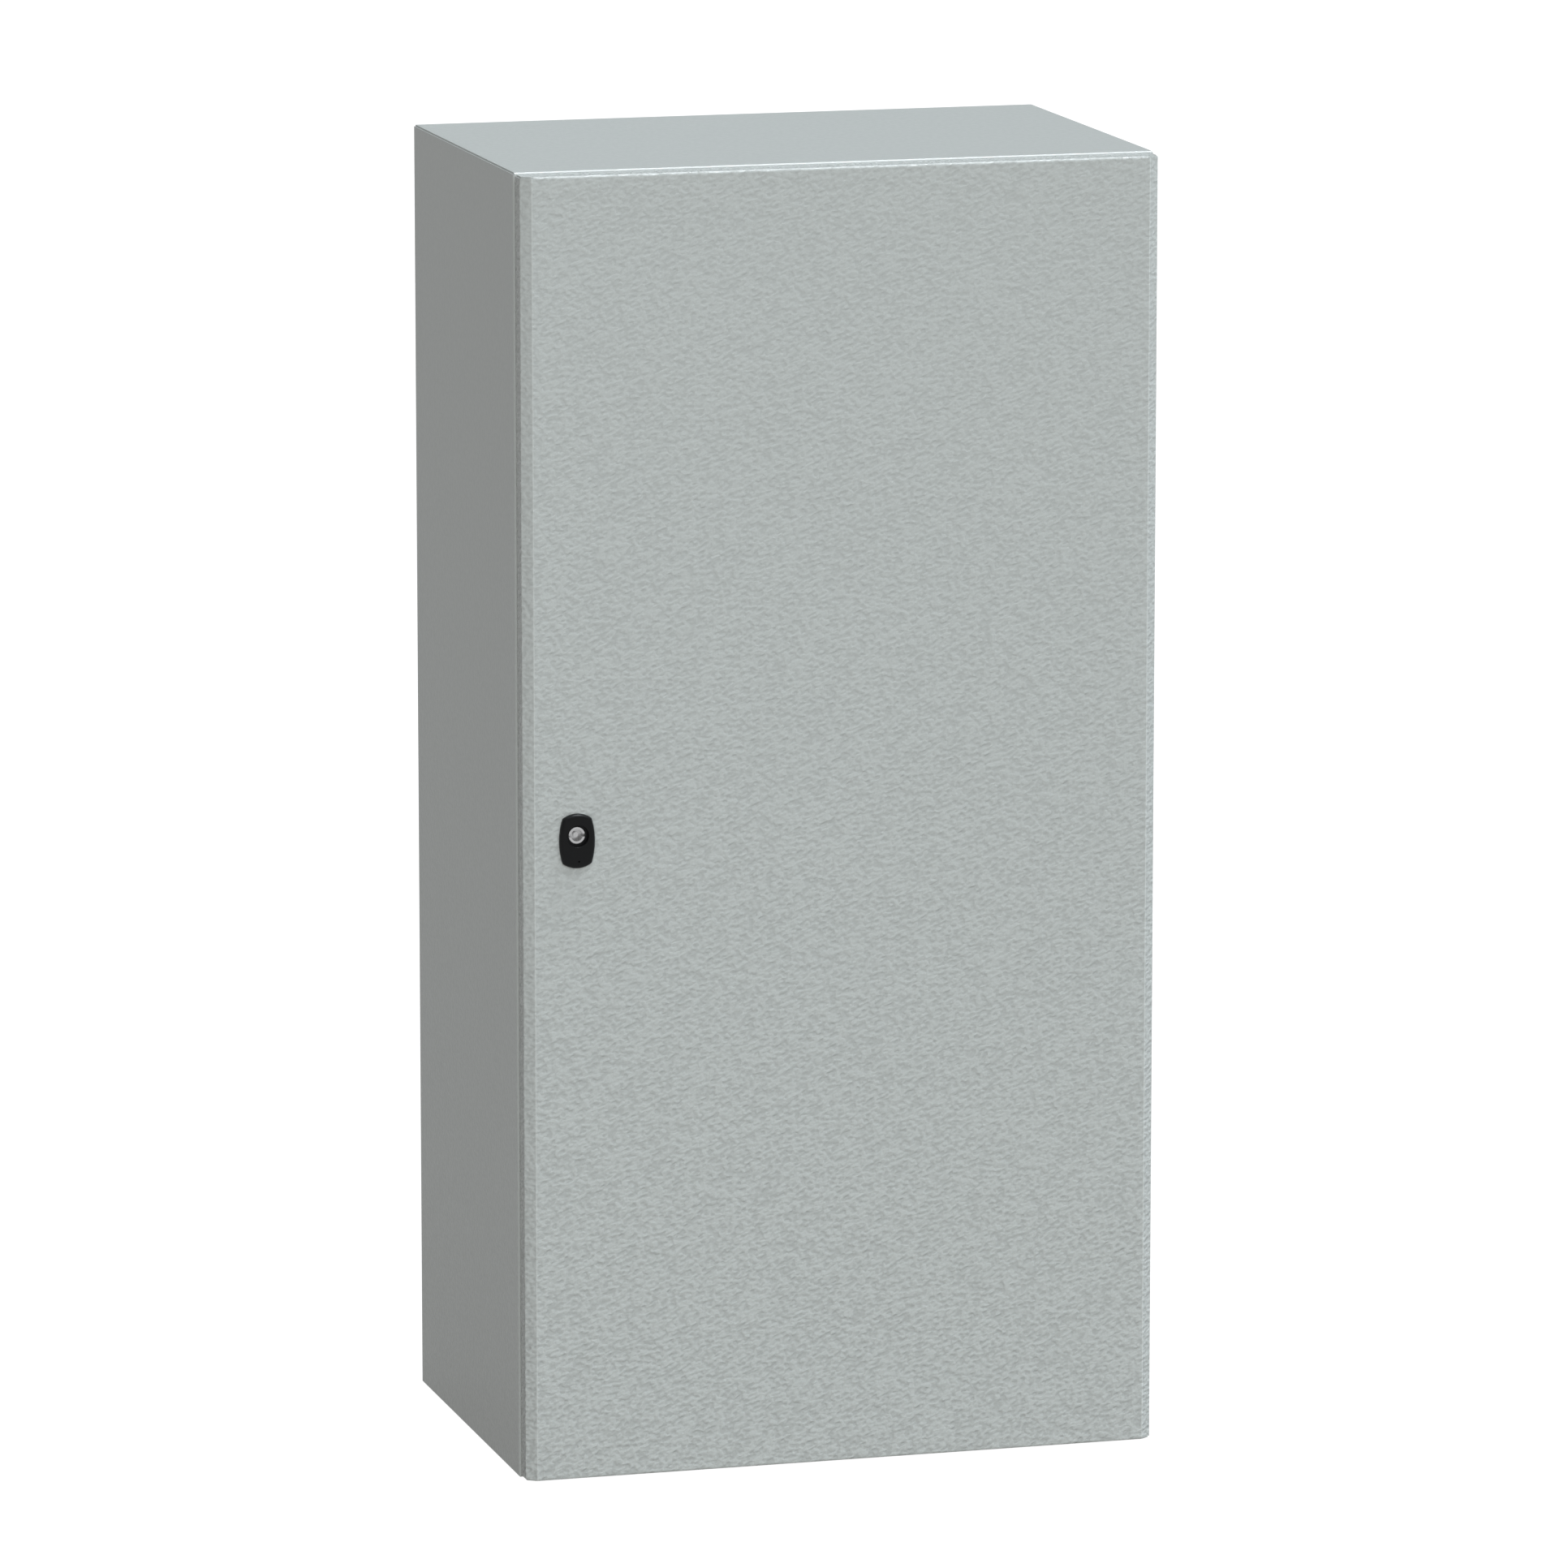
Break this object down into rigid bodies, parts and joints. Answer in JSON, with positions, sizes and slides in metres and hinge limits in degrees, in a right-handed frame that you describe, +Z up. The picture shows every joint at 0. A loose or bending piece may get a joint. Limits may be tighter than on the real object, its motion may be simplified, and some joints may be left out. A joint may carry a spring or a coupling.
{
  "type": "industrial switchboard cabinet",
  "caption": "Steel switchboard enclosure with one plain bevelled door, concealed hinges, a quarter-turn double-bit lock with locking rods, and a mounting plate inside.",
  "frame": {"origin": "on the floor plane, under the middle of the bounding box", "axes": "+Z up, -Y towards the front of the door, +X to the hinge side (the viewer's right)"},
  "size_m": [0.6, 0.405, 1.2],
  "materials": {
    "powder_coat": "textured light-grey powder coat",
    "galvanised_plate": "galvanised sheet with a faint spangle",
    "zinc_steel": "bright zinc plate",
    "zinc_diecast": "zinc die casting, matt",
    "pin_steel": "ground steel",
    "brass_nut": "plain brass",
    "chrome": "chrome plate",
    "black_plastic": "satin black glass-filled nylon",
    "foam_seal": "foamed polyurethane seal"
  },
  "bodies": {
    "cabinet": {"body_shell": "powder_coat", "rear_panel": "powder_coat", "mounting_studs": "zinc_steel", "mounting_plate": "galvanised_plate", "plate_washers": "zinc_steel", "plate_nuts": "zinc_steel", "gland_gasket": "foam_seal", "gland_plate": "galvanised_plate", "gland_studs": "zinc_steel", "gland_nuts": "zinc_steel", "body_earth_stud": "brass_nut", "body_earth_nut": "brass_nut", "hinge_screws": "zinc_steel", "hinge_body_bracket_lower": "zinc_diecast", "hinge_pin_lower": "pin_steel", "hinge_body_bracket_middle": "zinc_diecast", "hinge_pin_middle": "pin_steel", "hinge_body_bracket_upper": "zinc_diecast", "hinge_pin_upper": "pin_steel"},
    "door": {"door_panel": "powder_coat", "door_gasket": "foam_seal", "door_rail_left": "powder_coat", "door_rail_right": "powder_coat", "door_earth_stud": "brass_nut", "door_earth_nut": "brass_nut", "lock_housing": "black_plastic", "lock_seal": "foam_seal", "lock_nut": "zinc_diecast", "lock_retaining_ring": "zinc_steel", "hinge_door_bracket_lower": "powder_coat", "hinge_door_bracket_middle": "powder_coat", "hinge_door_bracket_upper": "powder_coat", "rod_guide_upper_inner": "powder_coat", "rod_guide_upper_outer": "powder_coat", "rod_guide_lower_inner": "powder_coat", "rod_guide_lower_outer": "powder_coat"},
    "lock": {"lock_insert": "chrome", "lock_cam": "zinc_steel", "crank_pins": "zinc_steel", "cam_screw": "zinc_steel", "cam_washer": "zinc_steel"},
    "upper_rod": {"locking_rod_upper": "zinc_steel", "rod_shoe_upper": "black_plastic"},
    "lower_rod": {"locking_rod_lower": "zinc_steel", "rod_shoe_lower": "black_plastic"}
  },
  "joints": [
    {"name": "door_swing", "type": "hinge", "parent": "cabinet", "child": "door", "pos_m": [0.2913, -0.1845, 0.6], "axis": [0, 0, 1], "range_deg": [0, 120]},
    {"name": "lock_turn", "type": "hinge", "parent": "door", "child": "lock", "pos_m": [-0.25, -0.1725, 0.6], "axis": [0, -1, 0], "range_deg": [0, 90]},
    {"name": "upper_rod_slide", "type": "slide", "parent": "door", "child": "upper_rod", "axis": [0, 0, 1], "range_m": [0, 0.0228]},
    {"name": "lower_rod_slide", "type": "slide", "parent": "door", "child": "lower_rod", "axis": [0, 0, -1], "range_m": [0, 0.0228]}
  ],
  "couplings": [
    {"joint": "upper_rod_slide", "follows": "lock_turn", "m_per_rad": 0.0144},
    {"joint": "lower_rod_slide", "follows": "lock_turn", "m_per_rad": 0.0144}
  ]
}
